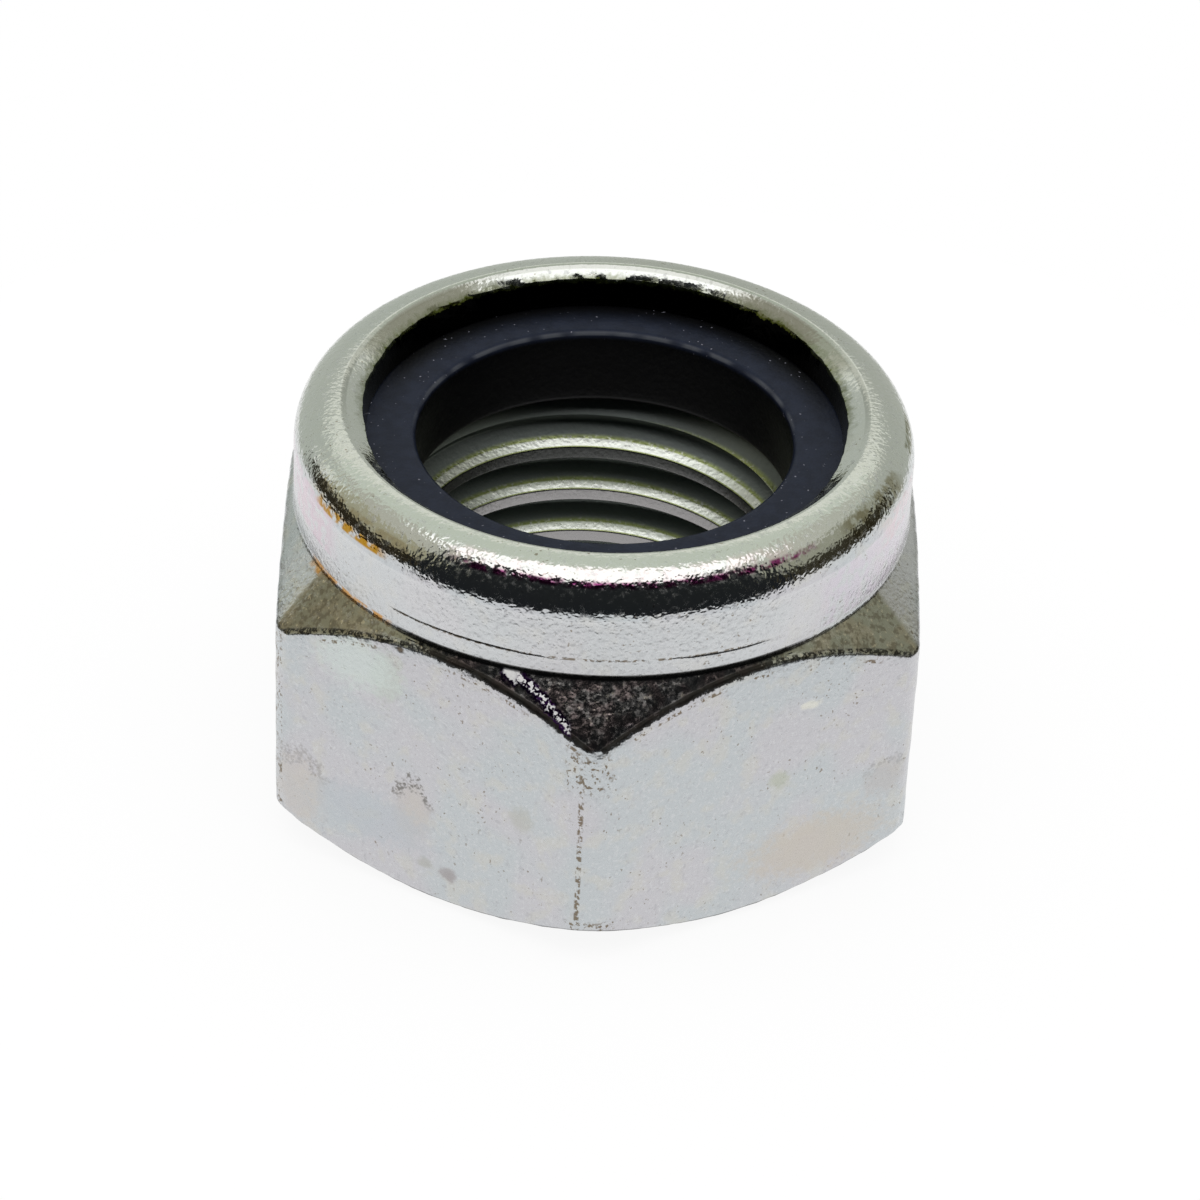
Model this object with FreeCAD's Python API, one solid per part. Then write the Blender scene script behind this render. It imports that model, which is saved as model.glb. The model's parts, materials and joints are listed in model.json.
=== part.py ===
import FreeCAD, Part
import math
import os

# Nylon insert lock nut for an M16 coarse thread, in millimetres.
# Z is the thread axis. The bearing face lies on Z = 0 and the rolled rim is at the top.
# A corner of the hexagon points along -Y, and two flats face +X and -X.

# Thread
thread_diameter = 16.0
thread_pitch = 2.0

# Hexagon and its two turned chamfers
flat_wall = 4.0                 # from the thread's major diameter out to a flat
hexagon_height = 11.75          # from the bearing face to the foot of the collar
corner_round = 1.1              # radius along the six upright edges
bearing_step = 0.45             # from a flat in to the edge of the bearing face
foot_chamfer_angle = 36.0       # rise of the lower chamfer from the bearing face
crown_chamfer_angle = 44.0      # fall of the upper chamfer from the foot of the collar

# Collar, whose rim is rolled in over the insert
collar_step = 0.3               # from a flat in to the collar
collar_wall = 1.65
shoulder_radius = 1.7           # outside of the rolled bend
curl_corner = 0.45              # slope across the inside of the rolled bend
rim_thickness = 1.4             # height of the rim above the insert
crown_flat = 0.1                # flat ring on top of the rim
rim_slope_width = 0.5           # from the flat ring in to the sheared end
rim_slope_drop = 0.4            # fall of that slope
rim_lean = 0.43                 # how much further in the end reaches at its underside

# Countersinks at both ends of the thread
mouth_margin = 0.35             # from the major radius out to the edge of a countersink
mouth_angle = 30.0              # lower countersink, from the bearing face
seat_mouth_angle = 45.0         # upper countersink, from the seat

# Insert ring
seat_sink = 0.4                 # from the foot of the collar down to the seat
insert_height = 3.25
insert_bite = 1.8               # the bore's diameter is this much under the thread's
insert_edge_break = 0.3         # slope at both edges of the bore
insert_clearance = 0.05         # between the ring and the wall of its recess

# Depth of a coarse metric thread, as a part of its pitch
minor_depth = 0.54127           # from the major radius in to the minor radius

# Worked out from the sizes above
across_flats = thread_diameter + 2 * flat_wall
corner_reach = across_flats / math.sqrt(3)
major_radius = thread_diameter / 2
minor_radius = major_radius - minor_depth * thread_pitch
mouth_radius = major_radius + mouth_margin
bearing_radius = across_flats / 2 - bearing_step
collar_radius = across_flats / 2 - collar_step
recess_radius = collar_radius - collar_wall
seat_height = hexagon_height - seat_sink
insert_top = seat_height + insert_height
nut_height = insert_top + rim_thickness
crown_edge_radius = collar_radius - shoulder_radius - crown_flat
rim_end_radius = crown_edge_radius - rim_slope_width
rim_opening_radius = rim_end_radius - rim_lean

UP = FreeCAD.Vector(0, 0, 1)
CENTRE = FreeCAD.Vector(0, 0, 0)


def tangent(degrees):
    return math.tan(math.radians(degrees))


def bend(before, corner, after, radius):
    """The arc that rounds a corner between two neighbouring points of an outline."""
    back = (before - corner).normalize()
    on = (after - corner).normalize()
    half_angle = back.getAngle(on) / 2
    setback = radius / math.tan(half_angle)
    apex = (back + on).normalize() * (radius / math.sin(half_angle) - radius)
    return Part.Arc(corner + back * setback, corner + apex, corner + on * setback).toShape()


def outline(corners):
    """A closed face on the XZ plane. A corner is (radius, height), or (radius, height, rounding)."""
    places = [FreeCAD.Vector(corner[0], 0, corner[1]) for corner in corners]
    edges = []
    ends = []
    for index, corner in enumerate(corners):
        after = places[(index + 1) % len(places)]
        if len(corner) == 3:
            arc = bend(places[index - 1], places[index], after, corner[2])
            edges.append(arc)
            ends.append((arc.Vertexes[0].Point, arc.Vertexes[-1].Point))
        else:
            ends.append((places[index], places[index]))
    for index, end in enumerate(ends):
        following = ends[(index + 1) % len(ends)]
        edges.append(Part.LineSegment(end[1], following[0]).toShape())
    return Part.Face(Part.Wire(Part.__sortEdges__(edges)))


def turned(corners):
    """The solid that an outline makes when it is turned about the thread axis."""
    return outline(corners).revolve(CENTRE, UP, 360)


def turned_blank():
    """Bearing face, both chamfers, collar, rolled rim, recess, seat, countersinks and bore."""
    foot_rise = (corner_reach - bearing_radius) * tangent(foot_chamfer_angle)
    crown_fall = (corner_reach - collar_radius) * tangent(crown_chamfer_angle)
    mouth_width = mouth_radius - minor_radius
    return turned([
        (mouth_radius, 0),
        (bearing_radius, 0),
        (corner_reach, foot_rise),
        (corner_reach, hexagon_height - crown_fall),
        (collar_radius, hexagon_height),
        (collar_radius, nut_height, shoulder_radius),
        (crown_edge_radius, nut_height),
        (rim_end_radius, nut_height - rim_slope_drop),
        (rim_opening_radius, insert_top),
        (recess_radius - curl_corner, insert_top),
        (recess_radius, insert_top - curl_corner),
        (recess_radius, seat_height),
        (mouth_radius, seat_height),
        (minor_radius, seat_height - mouth_width * tangent(seat_mouth_angle)),
        (minor_radius, mouth_width * tangent(mouth_angle)),
    ])


def hexagon_bar():
    """A hexagonal bar as tall as the nut, with its six upright edges rounded."""
    corners = []
    for index in range(7):
        turn = math.radians(60 * index - 90)
        corners.append(FreeCAD.Vector(corner_reach * math.cos(turn), corner_reach * math.sin(turn), 0))
    bar = Part.Face(Part.makePolygon(corners)).extrude(UP * nut_height)
    upright = [edge for edge in bar.Edges if edge.tangentAt(edge.FirstParameter).isParallel(UP, 1e-6)]
    return bar.makeFillet(corner_round, upright)


def nut_body():
    """One piece of steel: the turned blank, cut to a hexagon below its collar."""
    return turned_blank().common(hexagon_bar())


def nylon_insert():
    """A ring that fills the recess from the seat up to the underside of the rim."""
    bore_radius = (thread_diameter - insert_bite) / 2
    outer_radius = recess_radius - insert_clearance
    return turned([
        (bore_radius + insert_edge_break, seat_height),
        (outer_radius, seat_height),
        (outer_radius, insert_top - curl_corner),
        (outer_radius - curl_corner, insert_top),
        (bore_radius + insert_edge_break, insert_top),
        (bore_radius, insert_top - insert_edge_break),
        (bore_radius, seat_height + insert_edge_break),
    ])


def save(shape, name):
    solid = shape.Solids[0]
    print(name, "solids", len(shape.Solids), "valid", shape.isValid(), "volume", round(solid.Volume, 1))
    solid.exportStep(os.path.join("parts", name + ".step"))


os.makedirs("parts", exist_ok=True)
save(nut_body(), "nut_body")
save(nylon_insert(), "nylon_insert")
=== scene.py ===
# %% [markdown]
# Nylon insert lock nut.
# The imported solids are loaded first, as a fixed frame. The steel body and the nylon ring are then
# modelled again with finer edges, a cut thread and real finishes, each exactly where its solid is.

# %% Load the frame
import json
import math

import bmesh
import bpy
from mathutils import Matrix, Vector, noise

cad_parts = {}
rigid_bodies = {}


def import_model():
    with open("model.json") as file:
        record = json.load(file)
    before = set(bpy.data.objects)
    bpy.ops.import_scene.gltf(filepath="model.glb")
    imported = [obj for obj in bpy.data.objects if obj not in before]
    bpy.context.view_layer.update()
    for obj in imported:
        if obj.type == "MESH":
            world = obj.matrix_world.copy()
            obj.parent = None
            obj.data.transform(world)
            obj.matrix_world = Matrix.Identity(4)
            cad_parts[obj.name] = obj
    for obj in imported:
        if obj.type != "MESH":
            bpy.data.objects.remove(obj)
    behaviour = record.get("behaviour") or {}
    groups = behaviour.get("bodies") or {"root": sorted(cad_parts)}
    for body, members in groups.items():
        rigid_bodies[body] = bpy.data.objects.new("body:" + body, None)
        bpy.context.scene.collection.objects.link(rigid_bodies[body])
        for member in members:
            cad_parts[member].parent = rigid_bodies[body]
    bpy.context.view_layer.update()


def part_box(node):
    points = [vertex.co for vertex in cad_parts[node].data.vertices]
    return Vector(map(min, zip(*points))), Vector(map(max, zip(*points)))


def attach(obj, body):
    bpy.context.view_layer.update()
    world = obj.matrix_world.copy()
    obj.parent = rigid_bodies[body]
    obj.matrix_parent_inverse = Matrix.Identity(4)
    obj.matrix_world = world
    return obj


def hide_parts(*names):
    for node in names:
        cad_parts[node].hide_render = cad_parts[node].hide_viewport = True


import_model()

# %% [markdown]
# Sizes. What the solids already fix is read from the frame. The rest are the sizes that a maker's
# drawing would give. Everything is modelled in millimetres, which suits a part this small, and each
# finished piece is brought to metres in one step at the end.

# %% Sizes, in millimetres
MM = 0.001

nut_low, nut_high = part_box("nut_body")
ring_low, ring_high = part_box("nylon_insert")
across_flats = (nut_high[0] - nut_low[0]) / MM
nut_height = nut_high[2] / MM
insert_radius = ring_high[0] / MM
insert_top = ring_high[2] / MM
seat_height = ring_low[2] / MM

hexagon_height = 11.75
corner_round = 1.1
collar_step = 0.3              # from a flat in to the collar
bearing_step = 0.45            # from a flat in to the edge of the bearing face
foot_chamfer_angle = 36
crown_chamfer_angle = 44
insert_clearance = 0.05        # between the ring and the wall of its recess
curl_corner = 0.45             # slope across the inside of the rolled bend
shoulder_round = 1.7
crown_flat = 0.1               # flat ring on top of the rim
rim_slope_width = 0.5
rim_slope_drop = 0.4
rim_lean = 0.43                # how much further in the rim reaches at its underside

thread_major = 8.0
thread_pitch = 2.0
thread_depth_share = 0.54127   # depth of a coarse metric thread, as a part of its pitch
mouth_margin = 0.35            # from the major radius out to the edge of a countersink
mouth_angle = 30
insert_bore = 7.1

# %% Sizes worked out from those
collar_radius = across_flats / 2 - collar_step
bearing_radius = across_flats / 2 - bearing_step
foot_slope = math.tan(math.radians(foot_chamfer_angle))
crown_slope = math.tan(math.radians(crown_chamfer_angle))
recess_radius = insert_radius + insert_clearance
crown_edge_radius = collar_radius - shoulder_round - crown_flat
rim_end_radius = crown_edge_radius - rim_slope_width
rim_end_height = nut_height - rim_slope_drop
rim_opening_radius = rim_end_radius - rim_lean
thread_minor = thread_major - thread_depth_share * thread_pitch
mouth_radius = thread_major + mouth_margin
print("across flats", round(across_flats, 3), "height", round(nut_height, 3))

# %% [markdown]
# Small helpers for modelling by hand. Operators act on whatever is selected, so every step starts
# from an empty selection, and a ring of edges is grown by extruding it and setting the new ring
# down at its radius and height.

# %% Helpers for edit mode
def nothing_selected():
    for thing in bpy.context.view_layer.objects:
        thing.select_set(False)


def enter_edit():
    bpy.ops.object.mode_set(mode="EDIT")
    bpy.ops.mesh.select_mode(type="VERT")


def leave_edit():
    bpy.ops.object.mode_set(mode="OBJECT")


def edit_mesh():
    return bmesh.from_edit_mesh(bpy.context.object.data)


def refresh():
    bmesh.update_edit_mesh(bpy.context.object.data)


def select_vertices(test):
    """Selects the vertices whose place passes the test, with the edges and faces between them."""
    bpy.ops.mesh.select_mode(type="VERT")
    bpy.ops.mesh.select_all(action="DESELECT")
    mesh = edit_mesh()
    for vertex in mesh.verts:
        vertex.select = test(vertex.co)
    mesh.select_flush(True)
    refresh()


def next_ring(place):
    """Extrudes the selected ring. place(radius, height) says where a column of it goes."""
    bpy.ops.mesh.extrude_edges_move()
    for vertex in edit_mesh().verts:
        if vertex.select:
            radius = math.hypot(vertex.co.x, vertex.co.y)
            new_radius, vertex.co.z = place(radius, vertex.co.z)
            vertex.co.x *= new_radius / radius
            vertex.co.y *= new_radius / radius
    refresh()


def grow(outline):
    """Extrudes the selected ring through every (radius, height) of an outline."""
    for radius, height in outline:
        next_ring(lambda old_radius, old_height: (radius, height))


def rounded(before, corner, after, radius, steps):
    """The (radius, height) points of an arc that rounds a corner of an outline."""
    back = (Vector(before) - Vector(corner)).normalized()
    on = (Vector(after) - Vector(corner)).normalized()
    half_angle = back.angle(on) / 2
    middle = (back + on).normalized()
    centre = Vector(corner) + middle * (radius / math.sin(half_angle))
    start = Vector(corner) + back * (radius / math.tan(half_angle)) - centre
    end = Vector(corner) + on * (radius / math.tan(half_angle)) - centre
    turn = start.angle_signed(end)
    points = []
    for step in range(steps + 1):
        spoke = start.copy()
        spoke.rotate(Matrix.Rotation(-turn * step / steps, 2))
        points.append(tuple(centre + spoke))
    return points


def apply_modifiers(piece):
    for modifier in list(piece.modifiers):
        bpy.ops.object.modifier_apply(modifier=modifier.name)


def finish_piece(piece, name):
    """Names a piece and brings its mesh from millimetres to metres, with its place in the mesh."""
    piece.name = name
    piece.data.name = name
    piece.scale = (MM, MM, MM)
    nothing_selected()
    piece.select_set(True)
    bpy.context.view_layer.objects.active = piece
    bpy.ops.object.transform_apply(location=True, rotation=True, scale=True)
    print(name, len(piece.data.polygons), "faces")


# %% [markdown]
# The hexagon. The nut is turned and pressed from hexagonal bar, so the mesh starts as a six-sided
# ring. Its corners are rounded by a vertex bevel and its long edges are subdivided, which gives the
# columns that every later ring follows. A boolean of a bar with a turned cone would leave slivers
# along the curved edge where they meet. Here that edge is one ring, with each vertex set down on
# the flat and on the cone at once.

# %% A ring round the hexagon
columns_on_flat = 48
columns_on_corner = 10
corner_reach = across_flats / math.sqrt(3)

nothing_selected()
bpy.ops.mesh.primitive_circle_add(vertices=6, radius=corner_reach, fill_type="NOTHING")
steel = bpy.context.object
enter_edit()
corner_setback = corner_round * math.tan(math.radians(30))
bpy.ops.mesh.bevel(offset=corner_setback, segments=columns_on_corner, affect="VERTICES", profile=0.5)
bpy.ops.mesh.select_mode(type="EDGE")
bpy.ops.mesh.select_all(action="DESELECT")
for edge in edit_mesh().edges:
    edge.select = edge.calc_length() > corner_round * 2
refresh()
bpy.ops.mesh.subdivide(number_cuts=columns_on_flat - 1)
bpy.ops.mesh.select_all(action="SELECT")
print("columns round the nut", len(edit_mesh().verts))

# %% [markdown]
# The flats grow from the lower chamfer's edge to the upper one. Both edges are wavy, because a cone
# meets six planes, so each row is a blend of the two.

# %% Flats between the two chamfers
rows_on_flat = 28


def foot_edge(radius):
    return (radius - bearing_radius) * foot_slope


def crown_edge(radius):
    return hexagon_height - (radius - collar_radius) * crown_slope


for vertex in edit_mesh().verts:
    vertex.co.z = foot_edge(math.hypot(vertex.co.x, vertex.co.y))
refresh()
for row in range(1, rows_on_flat + 1):
    part = row / rows_on_flat
    next_ring(lambda radius, height: (
        radius, foot_edge(radius) * (1 - part) + crown_edge(radius) * part))
print("rows on a flat", rows_on_flat)

# %% [markdown]
# The turned surfaces. From the upper edge of the flats the ring goes in over the chamfer cone to the
# collar, up the wall, round the rolled shoulder, over the rim and down its end, then through the
# recess, the seat and the bore to the bearing face. The thread is cut later, so the bore is left
# narrower than the thread for now.

# %% Collar, rolled rim, recess and bore
core_radius = 6.3
crease_height = 12.5
crease_width = 0.06
shoulder_steps = 14
crown_edge_round = 0.25
rim_edge_round = 0.06
rim_slope_rows = (0.3, 0.5, 0.7)
rim_end_rows = 5
chamfer_rows = 6

collar_wall_rows = [12.05, crease_height - crease_width, crease_height - crease_width / 2, crease_height,
                    crease_height + crease_width / 2, crease_height + crease_width, 12.95, 13.4, 13.8]
shoulder = rounded((collar_radius, 0), (collar_radius, nut_height), (0, nut_height), shoulder_round,
                   shoulder_steps)
crown_edge_point = (crown_edge_radius, nut_height)
rim_end_point = (rim_end_radius, rim_end_height)
rim_edge = rounded((collar_radius, nut_height), crown_edge_point, rim_end_point,
                   crown_edge_round, 4)
for part in rim_slope_rows:
    rim_edge.append(tuple(Vector(crown_edge_point).lerp(Vector(rim_end_point), part)))
rim_edge += rounded(crown_edge_point, rim_end_point, (rim_opening_radius, insert_top),
                    rim_edge_round, 3)
rim_end = []
for row in range(1, rim_end_rows + 1):
    part = row / rim_end_rows
    rim_end.append((rim_edge[-1][0] * (1 - part) + rim_opening_radius * part,
                    rim_edge[-1][1] * (1 - part) + insert_top * part))
seat_mouth = seat_height - (mouth_radius - core_radius)
foot_mouth = (mouth_radius - core_radius) * math.tan(math.radians(mouth_angle))

for row in range(chamfer_rows, 0, -1):
    part = (row - 1) / row
    next_ring(lambda radius, height: (
        collar_radius + (radius - collar_radius) * part,
        hexagon_height + (height - hexagon_height) * part))
grow([(collar_radius, height) for height in collar_wall_rows])
grow(shoulder + rim_edge + rim_end)
grow([(recess_radius - curl_corner, insert_top), (recess_radius, insert_top - curl_corner),
      (recess_radius, seat_height), (mouth_radius, seat_height), (core_radius, seat_mouth),
      (core_radius, foot_mouth), (mouth_radius, 0), (bearing_radius, 0)])

ring_mesh = edit_mesh()
for edge in ring_mesh.edges:
    edge.select = edge.is_boundary
refresh()
bpy.ops.mesh.bridge_edge_loops(number_cuts=chamfer_rows - 1, interpolation="LINEAR")
bpy.ops.mesh.select_all(action="SELECT")
bpy.ops.mesh.normals_make_consistent(inside=False)
print("faces before the edges are broken", len(edit_mesh().faces))
print("open edges", sum(edge.is_boundary for edge in edit_mesh().edges))

# %% [markdown]
# Broken edges. No real edge is a perfect line, and the narrow band of a worn edge is what catches
# the light. The edges sharper than 25 degrees are bevelled, by a tenth of a millimetre.

# %% Break the sharp edges
edge_break = 0.1
sharp_angle = 25

bpy.ops.mesh.select_mode(type="EDGE")
bpy.ops.mesh.select_all(action="DESELECT")
bpy.ops.mesh.edges_select_sharp(sharpness=math.radians(sharp_angle))
bpy.ops.mesh.bevel(offset=edge_break, segments=3, affect="EDGES")
print("faces after", len(edit_mesh().faces))
leave_edit()

# %% [markdown]
# Wear. The nut was rolled, tumbled and plated, so its edges wander a little, the collar has a fine
# crease from the rolling, and the end of the rim is ragged where the sheared edge was turned in.
# These are shapes, so they are made by moving vertices. They go into the steel, apart from the sides
# of the rim, which reach a little further in than the solid does. Nothing leaves the outline of the
# nut. Smooth noise read at the place of each vertex gives the same wear on every run.

# %% Helpers for wear
def wobble(place, size):
    """A smooth random number from about -1 to 1 that changes over that distance."""
    return noise.noise(Vector(place) / size)


def span(value, low, high, fade):
    """1 between low and high, falling to 0 over the fade outside them."""
    outside = max(low - value, value - high, 0)
    return max(0, 1 - outside / fade)


def push_in(vertex, depth):
    """Moves a vertex towards the axis."""
    radius = math.hypot(vertex.co.x, vertex.co.y)
    vertex.co.x *= 1 - depth / radius
    vertex.co.y *= 1 - depth / radius


def across_hexagon(co):
    """The distance from the axis to the flat that a place is nearest to."""
    return max(abs(co.x), abs(co.x / 2 + co.y * math.sqrt(0.75)), abs(co.x / 2 - co.y * math.sqrt(0.75)))


# %% [markdown]
# The crease round the collar is deep at the front and fades out on both sides. Five rows of the wall
# lie close together there, so one row goes in and its neighbours hold the edges of the fold.

# %% Crease in the collar
crease_depth = 0.03
crease_from = -36
crease_to = 27
crease_least = 0.12            # share of the depth that goes all the way round
faint_from = -8
faint_to = 12
faint_loss = 0.7               # share of the depth that is missing over the front corner
crease_wander = 0.09           # how far the crease strays up and down
crease_shake = 0.02

creased = 0
for vertex in steel.data.vertices:
    radius = math.hypot(vertex.co.x, vertex.co.y)
    if abs(radius - collar_radius) < 0.01 and abs(vertex.co.z - crease_height) < crease_width + 0.01:
        angle = math.degrees(math.atan2(vertex.co.x, -vertex.co.y))
        strength = crease_least + (1 - crease_least) * span(angle, crease_from, crease_to, 7)
        strength *= 1 - faint_loss * span(angle, faint_from, faint_to, 6)
        strength *= max(0.1, 0.8 + 0.5 * wobble((angle, 0, 0), 6) + 0.7 * wobble((angle, 3, 0), 1.6))
        closeness = 1 - abs(vertex.co.z - crease_height) / crease_width
        push_in(vertex, crease_depth * strength * max(0, closeness) ** 2)
        vertex.co.z += crease_wander * wobble((angle, 5, 0), 18) + crease_shake * wobble((angle, 9, 0), 3)
        creased += 1
print("vertices in the crease", creased)

# %% [markdown]
# The end of the rim. The photograph shows it rolled in further at both sides than at the front and the
# back, so the edge moves in there first. The edge of the blank was sheared before it was rolled in,
# so the line between the bright top and the dark end is torn. Each vertex there goes outwards into
# the steel by its own amount, most at the far side, where the photograph shows it.

# %% Ragged end of the rim
rim_tear = 0.08
near_side_share = 0.45         # share of the tear that the near side has
side_reach = 0.3
side_from = 80
side_to = 108
side_fade = 28
inside_of_rim = 8.9

torn = 0
for vertex in steel.data.vertices:
    radius = math.hypot(vertex.co.x, vertex.co.y)
    if inside_of_rim < radius < crown_edge_radius and insert_top < vertex.co.z < nut_height:
        bearing = abs(math.degrees(math.atan2(vertex.co.x, -vertex.co.y)))
        share = (vertex.co.z - insert_top) / (rim_end_height - insert_top)
        if share > 1:
            share = (nut_height - vertex.co.z) / (nut_height - rim_end_height)
        push_in(vertex, side_reach * share * span(bearing, side_from, side_to, side_fade))
    if radius < rim_end_radius + 0.2 and insert_top + 0.3 < vertex.co.z < nut_height - 0.2:
        along = math.atan2(vertex.co.x, -vertex.co.y) * radius
        tear = 0.5 + 0.9 * wobble((along, vertex.co.z, 3), 0.55) + 0.5 * wobble((along, vertex.co.z, 7), 0.3)
        near_edge = span(vertex.co.z, rim_end_height - 0.15, rim_end_height + 0.03, 0.13)
        far_side = 1 if vertex.co.y > 0 else near_side_share
        push_in(vertex, -rim_tear * near_edge * far_side * min(1, max(0, tear)))
        torn += 1
print("vertices at the torn edge", torn)

# %% [markdown]
# The outer edges. Where a flat meets a chamfer the edge is rubbed back by a few hundredths of a
# millimetre, unevenly. A few deeper nicks sit where the nut has been knocked.

# %% Rubbed edges and nicks
edge_rub = 0.055
corner_rub = 0.035
# angle from the front corner in degrees, height, reach and depth
nicks = [(0.2, 1.75, 0.5, 0.17), (2.6, 1.6, 0.35, 0.1), (-1.4, 2.3, 0.3, 0.06), (-1.9, 5.2, 0.25, 0.05),
         (0.4, 9.75, 0.35, 0.09), (-59.5, 1.9, 0.5, 0.12), (60.5, 2.0, 0.45, 0.1), (-58.9, 9.6, 0.4, 0.07),
         (31.0, 0.5, 0.4, 0.05), (-24.0, 11.3, 0.3, 0.05), (38.0, 11.2, 0.3, 0.05), (121.0, 1.8, 0.5, 0.12),
         (-178.0, 9.7, 0.45, 0.08), (-119.0, 5.5, 0.4, 0.05)]

rubbed = 0
for vertex in steel.data.vertices:
    co = vertex.co
    radius = math.hypot(co.x, co.y)
    if across_hexagon(co) > 11.7 and radius > collar_radius + 0.15 and co.z < hexagon_height:
        crown_gap = abs(co.z - crown_edge(radius))
        foot_gap = abs(co.z - foot_edge(radius))
        near_edge = max(span(crown_gap, 0, 0.04, 0.12), span(foot_gap, 0, 0.04, 0.12))
        rub = 0.5 + 0.8 * wobble(co, 0.6) + 0.5 * wobble(co, 0.25)
        push_in(vertex, edge_rub * near_edge * min(1, max(0, rub)))
        if radius > across_flats / 2 * 1.11:
            push_in(vertex, corner_rub * min(1, max(0, 0.3 + wobble(co, 0.9))))
        for degrees, height, reach, depth in nicks:
            turn = math.radians(degrees)
            spot = Vector((radius * math.sin(turn), -radius * math.cos(turn), height))
            closeness = 1 - (spot - co).length / reach
            if closeness > 0:
                push_in(vertex, depth * closeness ** 2)
        rubbed += near_edge > 0
print("vertices on rubbed edges", rubbed)

# %% [markdown]
# The tap. A thread is cut with a tap, and so is this one: one pitch of the thread's outline is
# screwed up round the axis, sliced off flat at both ends, and taken out of the steel by a boolean.
# The groove keeps a small round at its root, and the crest a small round at its lips.

# %% Make a tap and cut the thread
steps_per_turn = 120
crest_lip = 0.08
root_round = 0.12
groove_half_mouth = 0.375 * thread_pitch
groove_half_root = 0.0625 * thread_pitch
thread_start_angle = math.radians(81)

nothing_selected()
bpy.ops.mesh.primitive_plane_add(size=1, location=(0, 0, 0))
tap = bpy.context.object
enter_edit()
bpy.ops.mesh.merge(type="CENTER")
flank = [(thread_minor, -thread_pitch / 2), (thread_minor, -groove_half_mouth),
         (thread_major, -groove_half_root), (thread_major, groove_half_root),
         (thread_minor, groove_half_mouth), (thread_minor, thread_pitch / 2)]
tap_outline = [flank[0]]
for index, lip in ((1, crest_lip), (2, root_round), (3, root_round), (4, crest_lip)):
    tap_outline += rounded(flank[index - 1], flank[index], flank[index + 1], lip, 3)
tap_outline.append(flank[5])
place = Vector((0, 0, 0))
for radius, height in tap_outline:
    step = Vector((radius, 0, height)) - place
    bpy.ops.mesh.extrude_vertices_move(TRANSFORM_OT_translate={"value": step})
    place += step
select_vertices(lambda co: co.length < thread_minor / 2)
bpy.ops.mesh.delete(type="VERT")
leave_edit()

screw = tap.modifiers.new("Screw", "SCREW")
screw.axis = "Z"
screw.screw_offset = thread_pitch
screw.iterations = math.ceil(seat_height / thread_pitch) + 3
screw.steps = steps_per_turn
screw.render_steps = steps_per_turn
screw.use_merge_vertices = True
screw.merge_threshold = 0.001
apply_modifiers(tap)
enter_edit()
bpy.ops.mesh.select_all(action="SELECT")
bpy.ops.mesh.remove_doubles(threshold=0.001)
bpy.ops.transform.translate(value=(0, 0, -2 * thread_pitch))
for cut_height, upwards in ((-thread_pitch / 4, -1), (seat_height + thread_pitch / 4, 1)):
    bpy.ops.mesh.select_all(action="SELECT")
    bpy.ops.mesh.bisect(plane_co=(0, 0, cut_height), plane_no=(0, 0, upwards), use_fill=True,
                        clear_outer=True, threshold=0.0001)
bpy.ops.mesh.select_all(action="SELECT")
bpy.ops.mesh.normals_make_consistent(inside=False)
print("open edges of the tap", sum(edge.is_boundary for edge in edit_mesh().edges))
leave_edit()
tap.rotation_euler.z = thread_start_angle
bpy.ops.object.transform_apply(rotation=True)

nothing_selected()
steel.select_set(True)
bpy.context.view_layer.objects.active = steel
cut = steel.modifiers.new("Thread", "BOOLEAN")
cut.operation = "DIFFERENCE"
cut.solver = "EXACT"
cut.object = tap
apply_modifiers(steel)
bpy.data.objects.remove(tap)
print("faces with the thread cut", len(steel.data.polygons))

# %% [markdown]
# Shading of the body. Wide round surfaces have to look smooth and real edges have to stay. Edges
# under thirty degrees are shaded smooth, and weighted normals keep the flats flat up to their edges.

# %% Smooth the body and hand it to the frame
nothing_selected()
steel.select_set(True)
bpy.context.view_layer.objects.active = steel
bpy.ops.object.shade_smooth_by_angle(angle=math.radians(30))
weighted = steel.modifiers.new("Weighted normals", "WEIGHTED_NORMAL")
weighted.keep_sharp = True
apply_modifiers(steel)
finish_piece(steel, "zinc_plated_body")
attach(steel, "root")
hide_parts("nut_body")

# %% [markdown]
# The nylon ring. It is a moulded washer, laid in the recess before the rim is rolled over it. One
# round ring of edges is grown through the washer's outline. Both edges of its bore are rounded,
# because moulded nylon has no sharp edge, and that round is the thin line that catches the light.

# %% Nylon ring
ring_columns = 256
bore_round = 0.3
top_rows = (9.1, 8.6, 8.1, 7.7)
bore_rows = (13.7, 13.1, 12.5, 12.0)

nothing_selected()
bpy.ops.mesh.primitive_circle_add(vertices=ring_columns, radius=insert_radius - curl_corner,
                                  fill_type="NOTHING", location=(0, 0, 0))
ring = bpy.context.object
enter_edit()
bpy.ops.mesh.select_all(action="SELECT")
bpy.ops.transform.translate(value=(0, 0, insert_top))
top_corner = rounded((insert_radius, insert_top), (insert_bore, insert_top), (insert_bore, seat_height),
                     bore_round, 8)
foot_corner = rounded((insert_bore, insert_top), (insert_bore, seat_height), (insert_radius, seat_height),
                      bore_round, 8)
grow([(radius, insert_top) for radius in top_rows])
grow(top_corner)
grow([(insert_bore, height) for height in bore_rows])
grow(foot_corner)
grow([(insert_radius, seat_height), (insert_radius, insert_top - curl_corner)])
ring_mesh = edit_mesh()
for edge in ring_mesh.edges:
    edge.select = edge.is_boundary
refresh()
bpy.ops.mesh.bridge_edge_loops()
bpy.ops.mesh.select_all(action="SELECT")
bpy.ops.mesh.normals_make_consistent(inside=False)
print("open edges of the ring", sum(edge.is_boundary for edge in edit_mesh().edges))
leave_edit()

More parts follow.
